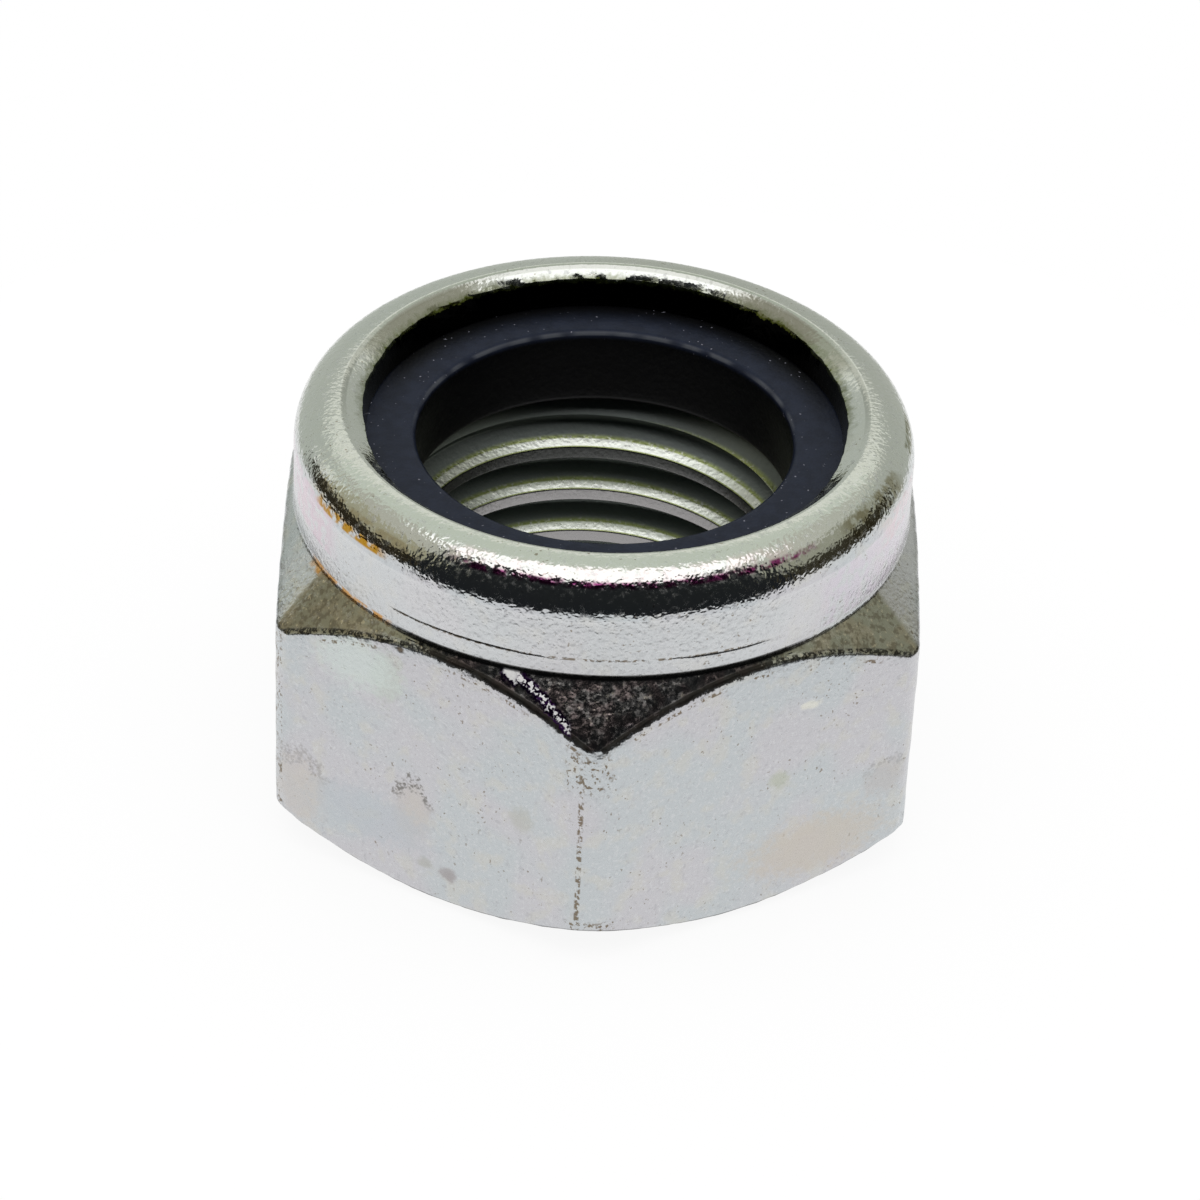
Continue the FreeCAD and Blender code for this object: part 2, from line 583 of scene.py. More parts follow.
# %% [markdown]
# The rolled rim squeezes the ring a little unevenly, so its top is not quite a plane and its bore not
# quite a circle. Both are moved by less than a twentieth of a millimetre, and only into the ring.

# %% Squeeze the ring a little
top_sink = 0.03
bore_sink = 0.04
edge_reach = bore_round + 0.01

for vertex in ring.data.vertices:
    radius = math.hypot(vertex.co.x, vertex.co.y)
    if vertex.co.z > insert_top - edge_reach and radius < rim_opening_radius:
        vertex.co.z -= top_sink * (0.5 + 0.5 * wobble((vertex.co.x, vertex.co.y, 2), 4))
    if radius < insert_bore + edge_reach:
        push_in(vertex, -bore_sink * (0.5 + 0.5 * wobble((vertex.co.x, vertex.co.y, 8), 5)))
nothing_selected()
ring.select_set(True)
bpy.context.view_layer.objects.active = ring
bpy.ops.object.shade_smooth_by_angle(angle=math.radians(30))
finish_piece(ring, "nylon_locking_ring")
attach(ring, "root")
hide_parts("nylon_insert")

# %% [markdown]
# Materials are built from nodes, but long node maths is easier to read as formulas. This class wraps
# one socket. Sums and products on it add their Math nodes, and node() adds a node of any other kind.

# %% A socket that can be used in formulas
class Socket:
    """One output of a material's nodes."""

    def __init__(self, tree, link=None):
        self.tree = tree
        self.link = link

    def node(self, kind, settings, inputs, output=0):
        """Adds a node, sets its settings, then its inputs, and gives one of its outputs."""
        made = self.tree.nodes.new(kind)
        for name, setting in settings.items():
            setattr(made, name, setting)
        for name, given in inputs.items():
            if isinstance(given, Socket):
                self.tree.links.new(given.link, made.inputs[name])
            else:
                made.inputs[name].default_value = given
        return Socket(self.tree, made.outputs[output])

    def math(self, operation, first, second=0.0):
        return self.node("ShaderNodeMath", {"operation": operation}, {0: first, 1: second})

    def __add__(self, other):
        return self.math("ADD", self, other)

    def __sub__(self, other):
        return self.math("SUBTRACT", self, other)

    def __rsub__(self, other):
        return self.math("SUBTRACT", other, self)

    def __mul__(self, other):
        return self.math("MULTIPLY", self, other)

    def __truediv__(self, other):
        return self.math("DIVIDE", self, other)

    def __pow__(self, other):
        return self.math("POWER", self, other)

    __radd__ = __add__
    __rmul__ = __mul__

    def size(self):
        return self.math("ABSOLUTE", self)

    def largest(self, other):
        return self.math("MAXIMUM", self, other)

    def rise(self, low, high):
        """0 below low, 1 above high and smooth between them."""
        return self.node("ShaderNodeMapRange", {"interpolation_type": "SMOOTHSTEP", "clamp": True},
                         {"Value": self, "From Min": low, "From Max": high, "To Min": 0.0, "To Max": 1.0})

    def within(self, low, high, fade):
        """1 between low and high, and 0 beyond the fade."""
        return self.rise(low - fade, low) * (1 - self.rise(high, high + fade))


def blend(first, second, factor):
    """A colour between two colours, by a factor from 0 to 1."""
    return factor.node("ShaderNodeMix", {"data_type": "RGBA", "clamp_factor": True},
                       {0: factor, 6: opaque(first), 7: opaque(second)}, 2)


def opaque(colour):
    return (*colour, 1.0) if isinstance(colour, tuple) else colour


def new_material(name):
    """A new material with its nodes cleared, as a place to start formulas from."""
    material = bpy.data.materials.new(name)
    material.use_nodes = True
    material.node_tree.nodes.clear()
    return material, Socket(material.node_tree)


def surface(start, shader):
    """Joins a shader to the material's output."""
    output = start.tree.nodes.new("ShaderNodeOutputMaterial")
    start.tree.links.new(shader.link, output.inputs["Surface"])


# %% [markdown]
# Places on the nut. Patterns read Object coordinates, so they stay on the metal from every side. They
# are turned into millimetres, and into a radius and an angle from the front corner, because a turned
# part is easiest to describe that way.

# %% Places in a material
def places(start):
    """The place in millimetres, its three parts, the radius and the angle from the front."""
    coordinates = start.node("ShaderNodeTexCoord", {}, {}, "Object")
    spot = start.node("ShaderNodeVectorMath", {"operation": "SCALE"}, {0: coordinates, 3: 1 / MM}, 0)
    x = start.node("ShaderNodeSeparateXYZ", {}, {0: spot}, "X")
    y = start.node("ShaderNodeSeparateXYZ", {}, {0: spot}, "Y")
    z = start.node("ShaderNodeSeparateXYZ", {}, {0: spot}, "Z")
    radius = (x * x + y * y) ** 0.5
    angle = start.math("ARCTAN2", x, y * -1.0) * math.degrees(1)
    return spot, x, y, z, radius, angle


def clouds(spot, size, detail=2.0, roughness=0.5):
    """Smooth noise from 0 to 1 whose features are about that many millimetres across."""
    return spot.node("ShaderNodeTexNoise", {"noise_dimensions": "3D"},
                     {"Vector": spot, "Scale": 1 / size, "Detail": detail, "Roughness": roughness})


# %% [markdown]
# Zinc plate. The steel has a thin bright zinc coat under a clear chromate film. The metal is nearly
# white, and the film gives it a bluish lilac on the flats and a greenish cream on the turned crown.
# So the colour is metal colour times small shifts, each made by its own noise.

# %% Zinc plate, its colour
zinc, start = new_material("zinc_plate")
spot, x, y, z, radius, angle = places(start)

lilac = (0.555, 0.55, 0.572)
pale_blue = (0.525, 0.555, 0.57)
cream = (0.585, 0.575, 0.53)
crown_cream = (0.60, 0.62, 0.575)
wall_white = (0.70, 0.705, 0.71)
crest_white = (0.66, 0.69, 0.63)
crest_edge = (0.26, 0.30, 0.12)
crest_painted_shade_dark = (0.08, 0.082, 0.08)
crest_painted_shade_grey = (0.34, 0.33, 0.33)
groove_painted_shade = (0.16, 0.18, 0.17)

bore_limit = 8.3               # radius inside which the steel is in the bore
groove_limit = 7.3             # radius outside which the bore is the groove of the thread
crest_limit = 6.93             # radius inside which the bore is the top of a crest
wall_low = 11.85
wall_high = 14.2

film = clouds(spot, 3.2, 1.0).rise(0.4, 0.6)
flecks = clouds(spot, 0.9, 2.0).rise(0.5, 0.68)
colour = blend(pale_blue, lilac, film)
colour = blend(colour, cream, flecks * 0.55)
colour = blend(colour, wall_white, z.within(wall_low, wall_high, 0.1) * radius.rise(11.4, 11.5) * 0.5)
on_crown = (z + clouds(spot, 1.5) * 0.6).rise(14.6, 15.6)
colour = blend(colour, crown_cream, on_crown * 0.85)
in_bore = 1 - radius.rise(bore_limit, bore_limit + 0.1)
in_groove = radius.rise(groove_limit, groove_limit + 0.18)
colour = blend(colour, crest_white, in_bore)
colour = blend(colour, crest_edge, in_bore * radius.rise(groove_limit - 0.08, groove_limit))

grain = clouds(spot, 0.13, 1.0)
speckle = clouds(spot, 0.24, 2.0, 0.6)
dark_grain = (0.40, 0.40, 0.42)
colour = blend(colour, dark_grain, speckle.rise(0.56, 0.74) * 0.42)
bright_grain = (0.66, 0.67, 0.68)
colour = blend(colour, bright_grain, grain.rise(0.54, 0.7) * 0.4)
# Painted shade: the groove of the thread is painted dark grey, standing in for the dark its flanks reflect.
colour = blend(colour, groove_painted_shade, in_bore * in_groove)
# Painted shade: the tops of the crests are painted darker the higher they are, standing in for the shadowed
# ground they reflect through the bore.
crest_top = 1 - radius.rise(crest_limit, crest_limit + 0.04)
colour = blend(colour, blend(crest_painted_shade_grey, crest_painted_shade_dark, z.rise(8.0, 9.0)), crest_top)
crest_line = radius.within(crest_limit + 0.015, crest_limit + 0.035, 0.02)
colour = blend(colour, crest_edge, crest_line * 0.9)
rust_speck = (0.17, 0.12, 0.065)
clusters = clouds(spot, 2.4, 2.0).rise(0.42, 0.62)
specks = clouds(spot, 0.15, 1.0).rise(0.69, 0.74) * (clusters * 0.75 + 0.1)
colour = blend(colour, rust_speck, specks * (1 - in_bore) * 0.8)
print("zinc nodes", len(zinc.node_tree.nodes))

# %% [markdown]
# Tints of the film. Where the film is thicker it shows colour: pink at the left of the collar, lilac
# and rose at its right, and amber, brown and olive on the shoulder. The magenta line is a painted
# fringe along the lower edge of the shoulder's highlight. Each one is a named patch by angle and
# height, broken up by noise.

# %% Tints on the collar and the shoulder
# name, first and last angle, lowest and highest height, fade in degrees, colour, strength
tints = [("pink", -84, -62, 12.8, 14.6, 8, (0.66, 0.50, 0.58), 0.6),
         ("lilac", 48, 74, 12.0, 14.2, 8, (0.66, 0.58, 0.68), 0.5),
         ("amber", -62, -45, 14.5, 14.78, 4, (0.42, 0.22, 0.015), 1.0),
         ("brown_left", -64, -38, 14.84, 15.3, 5, (0.36, 0.28, 0.13), 0.5),
         ("rose_crown", -26, 34, 15.56, 15.8, 8, (0.70, 0.60, 0.60), 0.5),
         ("orange_foot", -63, -43, 11.6, 11.86, 4, (0.60, 0.30, 0.06), 0.9),
         ("olive_right", 54, 70, 14.97, 15.55, 6, (0.22, 0.19, 0.09), 0.7),
         ("olive_far", 84, 94, 15.05, 15.35, 3, (0.14, 0.14, 0.05), 0.9),
         ("rose_right", 66, 80, 13.5, 14.6, 6, (0.68, 0.52, 0.54), 0.5),
         # the magenta line is a painted fringe at the lower edge of the shoulder's highlight
         ("magenta", -24, 38, 15.42, 15.5, 8, (0.20, 0.01, 0.12), 0.95)]

outside = radius.rise(10.2, 10.5)
patchy = clouds(spot, 0.45, 2.0, 0.6).rise(0.36, 0.56) * outside
for name, first, last, low, high, fade, tint, strength in tints:
    patch = angle.within(first, last, fade) * z.within(low, high, 0.1)
    colour = blend(colour, tint, patch * patchy * strength)
    print("tint", name)

# %% [markdown]
# Stains. Handling has left a few dull marks on the flats. Each is a soft spot with a ragged outline:
# the distance from its middle, measured wider or taller as the mark is, and shaken by noise.

# %% Stains on the flats
# name, middle, half width, half height, colour, strength, strength of the dark upper rim
stains = [("brown_patch", (-6.66, -10.0, 3.9), 0.95, 1.5, (0.54, 0.50, 0.47), 0.6, 0.8),
          ("left_patch", (-11.05, -7.48, 2.9), 1.3, 1.8, (0.56, 0.52, 0.49), 0.6, 0.3),
          ("small_dark", (-5.25, -10.82, 1.65), 0.42, 0.34, (0.36, 0.33, 0.33), 0.8, 0.0),
          ("small_dark_left", (-6.15, -10.3, 1.8), 0.38, 0.3, (0.42, 0.42, 0.38), 0.6, 0.0),
          ("faint", (-2.6, -12.36, 5.6), 0.6, 0.6, (0.47, 0.47, 0.43), 0.6, 0.0),
          ("greenish", (-7.75, -9.38, 9.7), 0.8, 1.3, (0.49, 0.53, 0.47), 0.6, 0.15),
          ("green_top", (-8.9, -8.72, 9.9), 2.0, 1.4, (0.60, 0.665, 0.635), 0.7, 0.0),
          ("speck", (-7.23, -9.68, 11.2), 0.2, 0.16, (0.10, 0.07, 0.04), 0.9, 0.0),
          ("grey_right", (11.04, -7.48, 4.5), 1.0, 0.9, (0.50, 0.48, 0.47), 0.6, 0.25),
          ("warm_right", (8.4, -9.0, 2.4), 3.4, 1.5, (0.56, 0.515, 0.455), 0.75, 0.0),
          ("cool_left", (-8.2, -9.12, 3.0), 3.0, 1.3, (0.48, 0.515, 0.55), 0.6, 0.0),
          ("small_green", (6.93, -9.86, 5.99), 0.5, 0.45, (0.44, 0.47, 0.38), 0.6, 0.0),
          ("white_smear", (7.85, -9.32, 9.11), 0.55, 0.22, (0.74, 0.73, 0.64), 0.7, 0.0)]
stain_rim = (0.15, 0.14, 0.125)

shake = (clouds(spot, 0.35, 2.0, 0.7) - 0.5) * 1.3
dots = clouds(spot, 0.14, 1.0)
feather = dots.rise(0.36, 0.6)
for name, middle, half_width, half_height, tint, strength, rim_strength in stains:
    sideways = ((x - middle[0]) ** 2 + (y - middle[1]) ** 2) ** 0.5
    upwards = (z - middle[2]).size()
    reach = ((sideways / half_width) ** 2 + (upwards / half_height) ** 2) ** 0.5 + shake
    colour = blend(colour, tint, (1 - reach.rise(0.45, 1.2)) * strength)
    if rim_strength:
        upper = z.rise(middle[2] + half_height * 0.15, middle[2] + half_height * 0.6)
        rim = reach.within(0.8, 0.98, 0.2) * upper * feather
        colour = blend(colour, stain_rim, rim * rim_strength)
    print("stain", name)

# %% [markdown]
# The upper chamfer. Between the side corners it is painted darker than the flats: brown and mottled at the
# front corner, olive beside it. The brown and olive are the film's colour, and the darkness is painted
# shade for the dark these facets reflect; the left facet gets more painted shade. Behind those corners
# it has the plain film. crown_line says at what height a line with the chamfer's slope, drawn up from a
# place, would reach the collar: it is the same all over the chamfer and lower below it.

# %% Dark facets of the upper chamfer
facet_brown_dark = (0.26, 0.25, 0.235)
facet_brown_warm = (0.32, 0.255, 0.24)
facet_olive_green = (0.38, 0.385, 0.33)
facet_olive_warm = (0.41, 0.38, 0.31)
facet_mark = (0.17, 0.145, 0.11)
left_facet_painted_shade = (0.20, 0.185, 0.155)
facet_speck = (0.75, 0.68, 0.55)
facet_reach = 60.5             # angle from the front corner at which the dark facets end

crown_line = z + (radius - collar_radius) * crown_slope
fine = clouds(spot, 0.18, 2.0, 0.65)
facet = crown_line.rise(hexagon_height - 0.09, hexagon_height - 0.03) * (1 - z.rise(11.78, 11.84))
facet = facet * radius.rise(11.72, 11.8) * (1 - angle.size().rise(facet_reach, facet_reach + 1.5))
front = angle.within(-26, 26, 8)
facet_brown = blend(facet_brown_dark, facet_brown_warm, clouds(spot, 0.6, 1.0).rise(0.4, 0.6))
facet_olive = blend(facet_olive_green, facet_olive_warm, flecks)
colour = blend(colour, blend(facet_olive, facet_brown, front), facet * 0.92)
ragged = clouds(spot, 0.3, 2.0, 0.7)
facet_marks = ragged.rise(0.48, 0.62) * facet * (1 - front)
colour = blend(colour, facet_mark, facet_marks * 0.6)
# Painted shade: the left facet is painted darker still, as it reflects a brighter card than the others.
left_facet = facet * (1 - angle.rise(-58, -40))
colour = blend(colour, left_facet_painted_shade, left_facet * (facet_marks * 0.3 + 0.4))
facet_specks = dots.rise(0.64, 0.72) * facet
colour = blend(colour, facet_speck, facet_specks * 0.5)

# %% [markdown]
# Brown dirt lies down the front corner, at its top and foot, at the left corner and along a line just
# under the upper edge of the flats. A near-black line is painted along the upper edge of the flats, and
# the crease is painted dark brown. Painted shade darkens the lower chamfer and the foot of the flats,
# which reflect the shadow under the nut, and the foot of the collar, where shade falls. Each place is
# found by its distance from an edge, and fine noise makes it patchy.

# %% Dirt, painted dark lines and painted shade along edges and in corners
near_black = (0.018, 0.016, 0.012)
brown = (0.15, 0.105, 0.055)

half_x = x * 0.5
half_y = y * math.sqrt(0.75)
hexagon_reach = x.size().largest((half_x + half_y).size()).largest((half_x - half_y).size())
# A near-black line is painted along the upper edge of the flats.
edge_gap = (crown_line + (fine - 0.5) * 0.45 - hexagon_height).size() - front * 0.07
edge_dark_line = (1 - edge_gap.rise(0.02, 0.07)) * hexagon_reach.rise(11.78, 11.86)
edge_dark_line = edge_dark_line * (1 - angle.size().rise(60.0, 62.0) * 0.8)
brown_edge = crown_line.within(hexagon_height - 0.4, hexagon_height - 0.3, 0.06) * fine.rise(0.5, 0.58)
brown_edge = brown_edge * clouds(spot, 1.6).rise(0.46, 0.56) * z.rise(8.0, 8.5)
corner_line = x.within(-0.5, -0.38, 0.07) * z.within(1.7, 9.0, 0.4) * fine.rise(0.46, 0.56)
corner_top = x.within(-0.9, 0.5, 0.3) * z.within(8.2, 9.3, 0.6) * fine.rise(0.54, 0.62)
corner_foot = x.within(-0.7, 0.9, 0.3) * z.within(1.5, 1.75, 0.2) * fine.rise(0.52, 0.6)
corner_dirt = corner_line.largest(corner_top).largest(corner_foot) * (1 - y.rise(-12.6, -12.2))
left_corner = x.within(-12.2, -11.75, 0.1) * fine.rise(0.55, 0.62) * (1 - y.rise(-6.3, -6.0))
# Painted shade: the lower chamfer and the foot of the flats are darkened, standing in for the shadow under
# the nut that they reflect.
foot_line = z - (radius - bearing_radius) * foot_slope
foot_painted_shade = (1 - foot_line.rise(0.02, 0.09)) * radius.rise(11.4, 11.6) * (1 - z.rise(2.4, 2.6))
# Painted shade: a dark ring under the foot of the collar, where shade falls.
under_collar_painted_shade = z.within(11.7, 11.83, 0.06) * (1 - radius.rise(11.78, 11.9)) * radius.rise(11.5, 11.6)
brown_dirt = corner_dirt.largest(brown_edge).largest(left_corner)
colour = blend(colour, brown, brown_dirt * 0.85)
edge_line_and_foot_shade = edge_dark_line.largest(foot_painted_shade * 0.75)
colour = blend(colour, near_black, edge_line_and_foot_shade * 0.9)
# The crease is painted dark brown.
crease_darkening = z.within(crease_height - 0.03, crease_height + 0.03, 0.04) * angle.within(-37, 28, 4)
crease_darkening = crease_darkening * fine.rise(0.44, 0.56) * radius.within(11.5, 11.71, 0.05)
colour = blend(colour, brown, crease_darkening * 0.8)
colour = blend(colour, near_black, under_collar_painted_shade * angle.within(-34, 34, 10) * 0.9)

# %% [markdown]
# The end of the rim is painted nearly black: painted shade for the dark it reflects and the shadow
# under the rim, with a painted olive fringe where the bright top stops. The slope above it is painted
# darker at its top, at its foot and at the sides of the far half, as painted shade on its reflection.

# %% Slope and end of the rim
slope_top_painted_shade = (0.40, 0.41, 0.375)
slope_foot_painted_shade = (0.22, 0.235, 0.16)
slope_side_painted_shade = (0.25, 0.245, 0.19)
olive_painted_fringe = (0.10, 0.12, 0.03)
rim_end_painted_shade = (0.002, 0.002, 0.0025)

# Painted shade on the slope: its top, its foot and the sides of the far half are painted darker.
far_half = y.rise(-3.0, 1.0)
slope_top = radius.within(9.76, 9.92, 0.05) * z.rise(15.7, 15.75) * far_half
colour = blend(colour, slope_top_painted_shade, slope_top * 0.75)
tear = (ragged - 0.5) * 0.4 + z
rim_slope = (1 - radius.rise(9.72, 9.86)) * z.rise(15.3, 15.4)
side_of_rim = angle.size().within(112, 143, 8)
colour = blend(colour, slope_side_painted_shade, rim_slope * side_of_rim * 0.7)
slope_foot = (1 - tear.rise(rim_end_height, rim_end_height + 0.2)) * (1 - radius.rise(9.8, 9.9))
colour = blend(colour, slope_foot_painted_shade, slope_foot * z.rise(15.3, 15.4) * far_half * 0.85)
# Painted shade: the end of the rim is painted nearly black, with a painted olive fringe along its top.
rim_inside = 1 - radius.rise(9.62, 9.7)
above_insert = z.rise(14.4, 14.5)
olive_line = (1 - tear.rise(rim_end_height - 0.06, rim_end_height)) * rim_inside * above_insert
rim_end = (1 - tear.rise(rim_end_height - 0.15, rim_end_height - 0.09)) * rim_inside * above_insert
colour = blend(colour, olive_painted_fringe, olive_line)
colour = blend(colour, rim_end_painted_shade, rim_end)
print("zinc nodes", len(zinc.node_tree.nodes))

# %% [markdown]
# Gloss and grain. The flats are satin, and the rolled shoulder and the dark facets are brighter. The
# plating has a fine grain, which breaks the edge of every highlight into small teeth. The grain is a
# bump of a few hundredths of a millimetre, weaker on the facets, on top of the rim and in the bore.

# %% Zinc plate, its gloss and grain
satin_roughness = 0.28
polish = 0.16                  # how much smoother the polished places are
grain_depth = 0.026

polished = z.rise(13.9, 14.5).largest(facet)
dullness = satin_roughness - polished * polish + (fine - 0.5) * (polished * 0.2 + 0.1)
dullness = dullness + edge_line_and_foot_shade * 0.3 + in_bore * in_groove * 0.2 + speckle.rise(0.5, 0.68) * polished * 0.16
calm = facet.largest((1 - radius.rise(10.0, 10.8)) * 0.75)
grain_height = clouds(spot, 0.2, 1.0, 0.6) * (1 - calm * 0.75) + clouds(spot, 0.9, 0.0) * 0.15
relief = start.node("ShaderNodeBump", {}, {"Strength": 1.0, "Distance": grain_depth * MM,
                                            "Height": grain_height})
print("zinc nodes", len(zinc.node_tree.nodes))

# %% [markdown]
# The streak. A highlight is painted on the left of the front facet's edge: a bright blob that runs
# out into beads towards the corner, with a painted purple fringe along it. It follows a line between
# the flat and the chamfer, so it is measured by its distance from that line.

# %% Painted highlight on the front facet, and the finished plate
painted_fringe_purple = (0.05, 0.012, 0.09)
painted_highlight_white = (1.0, 1.0, 1.0)
streak_line = 11.33            # place of the streak, across the flat and the chamfer
streak_half_width = 0.03
blob_half_width = 0.13

left_reach = x * -0.5 + y * -math.sqrt(0.75)
streak_path = left_reach - (radius - collar_radius) * 0.35
blob = 1 - angle.rise(-15.0, -13.0)
streak_width = blob * blob_half_width + streak_half_width
streak_gap = (streak_path - streak_line).size() - streak_width + (fine - 0.5) * 0.25
# Painted highlight: a white streak with a purple fringe, standing in for a reflection on the facet's edge.
painted_highlight = (1 - streak_gap.rise(0.0, 0.05)) * angle.within(-16.5, -4.5, 0.8) * facet
painted_highlight = painted_highlight * grain.rise(0.42, 0.5).largest(blob)
painted_fringe = (1 - streak_gap.rise(0.06, 0.12)) * angle.within(-17, -4.5, 0.8) * facet
dullness = dullness + painted_highlight * 0.42
colour = blend(colour, painted_fringe_purple, painted_fringe)
colour = blend(colour, painted_highlight_white, painted_highlight)
plate = start.node("ShaderNodeBsdfPrincipled", {},
                   {"Base Color": colour, "Metallic": 1.0, "Roughness": dullness, "Normal": relief})
surface(start, plate)
print("zinc nodes", len(zinc.node_tree.nodes))

# %% [markdown]
# Nylon. Dark moulded nylon has a soft sheen, a slight bluish cast and a few pale specks of dust.
# Its colour is almost black, and most of what the eye sees is the sheen on its fine texture.

# %% Nylon
nylon, start = new_material("dark_moulded_nylon")
spot, x, y, z, radius, angle = places(start)
nylon_dark = (0.008, 0.011, 0.022)
nylon_light = (0.011, 0.015, 0.029)
dust = (0.22, 0.22, 0.26)

colour = blend(nylon_dark, nylon_light, clouds(spot, 0.6, 3.0, 0.6).rise(0.35, 0.65))
# Painted shade: the bore of the ring is painted near black, and so is the far side of its top under the rim,
# as the rim's shadow.
nylon_painted_shade = (0.001, 0.001, 0.0015)
in_bore = 1 - z.rise(14.2, 14.5)
under_rim = radius.rise(7.6, 8.9) * y.rise(0.0, 5.0)
colour = blend(colour, nylon_painted_shade, in_bore.largest(under_rim))
# Painted sheen: a lighter line on the far edge of the bore, on top of the light its round catches.
edge_sheen = (0.06, 0.065, 0.075)
bore_edge = z.within(14.44, 14.5, 0.06) * (1 - radius.rise(7.3, 7.45)) * y.rise(-1.0, 3.0)
bore_edge = bore_edge * clouds(spot, 0.9, 0.0).rise(0.25, 0.6)
colour = blend(colour, edge_sheen, bore_edge * 0.8)
dusty = clouds(spot, 0.16, 1.0).rise(0.735, 0.78) * (z + clouds(spot, 2.0)).rise(14.5, 15.2)
colour = blend(colour, dust, dusty * 0.8)
dullness = 0.3 + clouds(spot, 0.5, 2.0) * 0.1
relief = start.node("ShaderNodeBump", {}, {"Strength": 0.6, "Distance": 0.02 * MM,
                                            "Height": clouds(spot, 0.2, 1.0, 0.6)})
moulded = start.node("ShaderNodeBsdfPrincipled", {},
                     {"Base Color": colour, "Roughness": dullness, "Normal": relief,
                      "Specular IOR Level": 0.1})
surface(start, moulded)
steel.data.materials.clear()
steel.data.materials.append(zinc)
ring.data.materials.clear()
ring.data.materials.append(nylon)
print("nylon nodes", len(nylon.node_tree.nodes))

# %% [markdown]
# The floor is a white disc. Its colour comes from a plain matt white. For the camera and for
# reflections nine tenths of it are white of strength 1, so that the ground reads as white while the
# nut's shadow stays on it.

# %% White floor
floor_reach = 0.042
floor_columns = 128
floor_share_of_white = 0.9


def seen_directly(start):
    """1 for rays that see a surface in the camera, in a reflection or through glass."""
    camera_ray = start.node("ShaderNodeLightPath", {}, {}, "Is Camera Ray")
    glossy_ray = start.node("ShaderNodeLightPath", {}, {}, "Is Glossy Ray")
    clear_ray = start.node("ShaderNodeLightPath", {}, {}, "Is Transmission Ray")
    return camera_ray.largest(glossy_ray).largest(clear_ray)


nothing_selected()
bpy.ops.mesh.primitive_circle_add(vertices=floor_columns, radius=floor_reach, fill_type="NGON",
                                  location=(0, 0, 0))
floor = bpy.context.object
floor.name = "studio_floor"
floor_white, start = new_material("studio_floor_white")
matt = start.node("ShaderNodeBsdfDiffuse", {}, {"Color": (0.9, 0.9, 0.9, 1.0)})
white = start.node("ShaderNodeEmission", {}, {"Color": (1.0, 1.0, 1.0, 1.0), "Strength": 1.0})
surface(start, start.node("ShaderNodeMixShader", {},
                          {0: seen_directly(start) * floor_share_of_white, 1: matt, 2: white}))
floor.data.materials.append(floor_white)
print("floor radius", floor_reach)

# %% [markdown]
# The studio. Bright metal shows its surroundings, so a photographer shapes them with cards. A dark
# card round the front gives the shoulder its dark band, grey cards at the sides and the back give the
# quieter tones, and a bright sheet overhead gives the long highlight. The cards are patches of big
# spheres, which keeps each one at an even distance. The camera does not see them.

# %% Cards round the nut
card_centre = (0, 0, 0.01)
card_columns = 144


def card(name, around_from, around_to, along_from, along_to, distance, tone, lying=False):
    """A patch of a sphere. Standing, around is the bearing from the front and along the height angle.
    Lying, around goes from the front horizon over the top, and along goes from left to right."""
    nothing_selected()
    turn = (0, math.radians(90), 0) if lying else (0, 0, 0)
    bpy.ops.mesh.primitive_uv_sphere_add(segments=card_columns, ring_count=card_columns // 2,
                                         radius=distance, rotation=turn)
    made = bpy.context.object
    bpy.ops.object.transform_apply(rotation=True)
    enter_edit()
    bpy.ops.mesh.select_mode(type="FACE")
    bpy.ops.mesh.select_all(action="DESELECT")
    for face in edit_mesh().faces:
        middle = face.calc_center_median().normalized()
        upright = math.degrees(math.asin(middle.z))
        bearing = math.degrees(math.atan2(middle.x, -middle.y))
        if lying:
            upright = math.degrees(math.asin(middle.x))
            bearing = math.degrees(math.atan2(middle.z, -middle.y))
        inside = around_from < bearing < around_to and along_from < upright < along_to
        face.select = not inside
    refresh()
    bpy.ops.mesh.delete(type="FACE")
    leave_edit()
    made.location = card_centre
    made.name = name
    paint, start = new_material(name + "_tone")
    surface(start, start.node("ShaderNodeEmission", {}, {"Color": (*tone, 1.0), "Strength": 1.0}))
    made.data.materials.append(paint)
    made.visible_camera = False
    made.visible_diffuse = False
    made.visible_shadow = False
    print(name, len(made.data.polygons), "faces")
    return made


card("card_front_dark", -66, 66, -30, 57.5, 0.40, (0.018, 0.02, 0.022))
card("card_horizon_left", -122, -66, -12, 10, 0.40, (0.04, 0.035, 0.025))
card("card_horizon_right", 66, 118, -12, 12, 0.40, (0.05, 0.045, 0.03))
card("card_side_left", -113, -66, 10, 34, 0.42, (0.50, 0.475, 0.35))
card("card_side_right", 66, 118, 12, 34, 0.42, (0.42, 0.42, 0.34))
card("card_upper_left", -128, -66, 34, 58.5, 0.42, (0.62, 0.61, 0.54))
card("card_upper_right", 66, 140, 34, 58.5, 0.42, (0.66, 0.66, 0.59))
card("card_back_left", -180, -122, -17, 32, 0.44, (0.60, 0.63, 0.58))
card("card_back_right", 118, 180, -17, 32, 0.44, (0.55, 0.57, 0.52))
card("card_back_middle", 134, 149, -70, 70, 0.45, (1.02, 1.03, 0.95), lying=True)
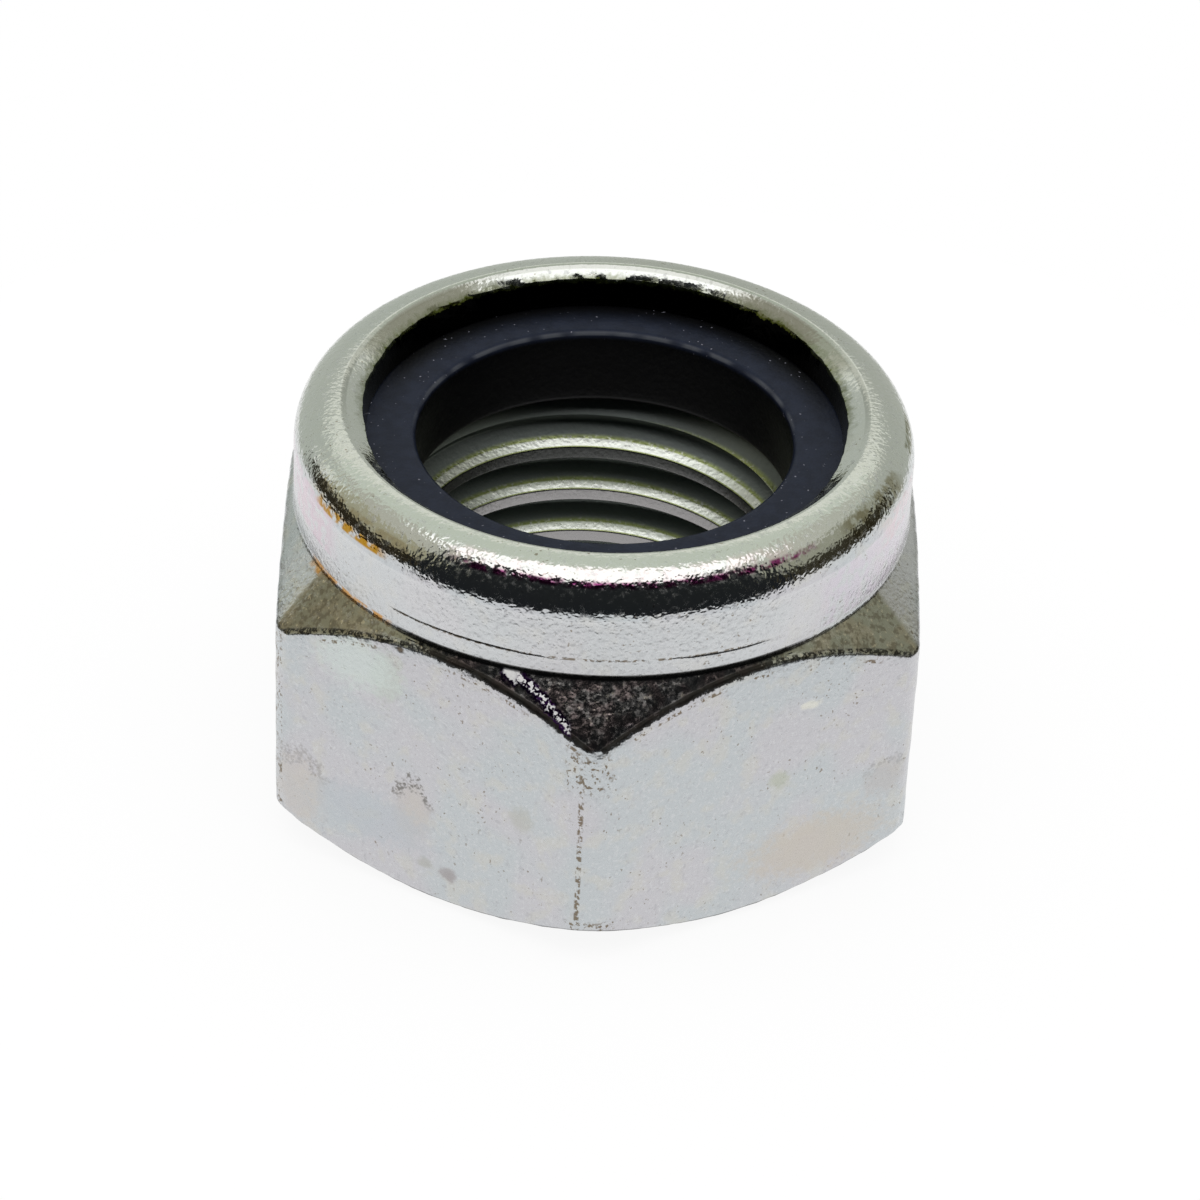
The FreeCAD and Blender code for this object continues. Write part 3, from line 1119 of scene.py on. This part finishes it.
card("card_back_high", 96, 134, -70, 70, 0.46, (0.78, 0.83, 0.74), lying=True)
overhead = card("sheet_overhead", 57.5, 96, -52, 52, 0.46, (1.75, 1.73, 1.74), lying=True)
overhead.visible_diffuse = True
overhead.visible_shadow = True

# %% [markdown]
# The surroundings beyond the cards are plain white of strength 1: for the camera, for reflections
# and for the soft light that falls on the floor and the nylon.

# %% World
white_level = 1.0

world = bpy.data.worlds.new("studio")
bpy.context.scene.world = world
world.use_nodes = True
world.node_tree.nodes.clear()
start = Socket(world.node_tree)
background = start.node("ShaderNodeBackground", {}, {"Color": (1.0, 1.0, 1.0, 1.0),
                                                           "Strength": white_level})
output = world.node_tree.nodes.new("ShaderNodeOutputWorld")
world.node_tree.links.new(background.link, output.inputs["Surface"])
print("strength of the surroundings", white_level)

# %% [markdown]
# The camera. It stands in front of a corner of the hexagon and looks down on the nut, a little tilted
# to one side. Its place comes from the outline, the rim, the bore and the thread in the photograph.

# %% Camera
view_height_angle = math.radians(35.49)
view_side_angle = math.radians(-0.917)
view_tilt = math.radians(2.659)
view_distance = 177.23
view_target = Vector((0.114, 0, 6.844))
lens = 137.5

backwards = Vector((0, -math.cos(view_height_angle), math.sin(view_height_angle)))
upwards = Vector((0, math.sin(view_height_angle), math.cos(view_height_angle)))
sideways = Vector((1, 0, 0))
camera_right = math.cos(view_tilt) * sideways + math.sin(view_tilt) * upwards
camera_up = -math.sin(view_tilt) * sideways + math.cos(view_tilt) * upwards
side_turn = Matrix.Rotation(view_side_angle, 3, "Z")
camera_turn = side_turn @ Matrix((camera_right, camera_up, backwards)).transposed()

camera_data = bpy.data.cameras.new("camera")
camera = bpy.data.objects.new("camera", camera_data)
bpy.context.scene.collection.objects.link(camera)
camera_data.sensor_width = 36
camera_data.lens = lens
camera_data.clip_start = 0.01
camera_data.clip_end = 10
camera.location = side_turn @ (view_target + backwards * view_distance) * MM
camera.rotation_euler = camera_turn.to_euler()
bpy.context.scene.camera = camera
bpy.context.scene.view_settings.view_transform = "Standard"
print("camera at", [round(value, 4) for value in camera.location])
